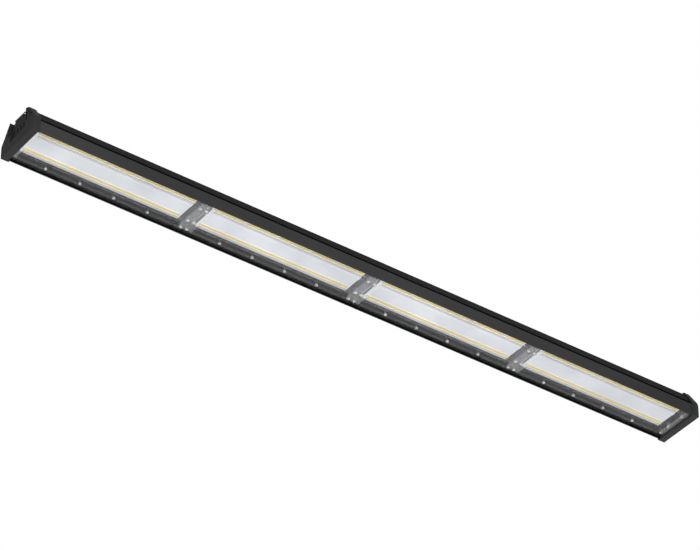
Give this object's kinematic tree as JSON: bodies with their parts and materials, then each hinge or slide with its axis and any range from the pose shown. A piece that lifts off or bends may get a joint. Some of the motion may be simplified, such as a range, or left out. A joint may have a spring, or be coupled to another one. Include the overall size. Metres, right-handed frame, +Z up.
{
  "type": "light fixture",
  "caption": "Long linear high-bay light: black extruded body, moulded end caps, clear screwed lens covers over LED boards, and a hanging bracket at each end.",
  "frame": {"origin": "under the middle of the fixture, level with the flat undersides of the end caps", "axes": "+X along the fixture towards the end with the cable entry, +Y across it, +Z up; the light leaves along -Z"},
  "size_m": [1.2, 0.084, 0.0506],
  "materials": {
    "body_paint": "fine satin black powder coat",
    "cap_plastic": "finely textured black moulding",
    "bracket_steel": "dark grey coated sheet steel",
    "clear_cover": "clear polycarbonate",
    "gasket_silicone": "grey silicone",
    "board_white": "white solder mask on aluminium",
    "led_phosphor": "yellow phosphor in a white frame",
    "bright_steel": "zinc-plated steel",
    "black_steel": "blackened steel",
    "driver_case": "plain aluminium case",
    "lead_sheath": "black flat twin lead",
    "terminal_plastic": "off-white moulding",
    "grommet_rubber": "black rubber"
  },
  "bodies": {
    "root": {"body_extrusion": "body_paint", "end_cap_left": "cap_plastic", "cap_screws_left": "black_steel", "hanging_bracket_left": "bracket_steel", "bracket_screws_left": "black_steel", "led_driver_left": "driver_case", "driver_lead_left": "lead_sheath", "end_cap_right": "cap_plastic", "cap_screws_right": "black_steel", "hanging_bracket_right": "bracket_steel", "bracket_screws_right": "black_steel", "led_driver_right": "driver_case", "driver_lead_right": "lead_sheath", "driver_screws": "bright_steel", "terminal_block": "terminal_plastic", "cable_grommet": "grommet_rubber", "lens_cover_1": "clear_cover", "lens_gasket_1": "gasket_silicone", "led_board_1": "board_white", "led_chips_1": "led_phosphor", "cover_screws_1": "bright_steel", "lens_cover_2": "clear_cover", "lens_gasket_2": "gasket_silicone", "led_board_2": "board_white", "led_chips_2": "led_phosphor", "cover_screws_2": "bright_steel", "lens_cover_3": "clear_cover", "lens_gasket_3": "gasket_silicone", "led_board_3": "board_white", "led_chips_3": "led_phosphor", "cover_screws_3": "bright_steel", "lens_cover_4": "clear_cover", "lens_gasket_4": "gasket_silicone", "led_board_4": "board_white", "led_chips_4": "led_phosphor", "cover_screws_4": "bright_steel"}
  },
  "joints": []
}
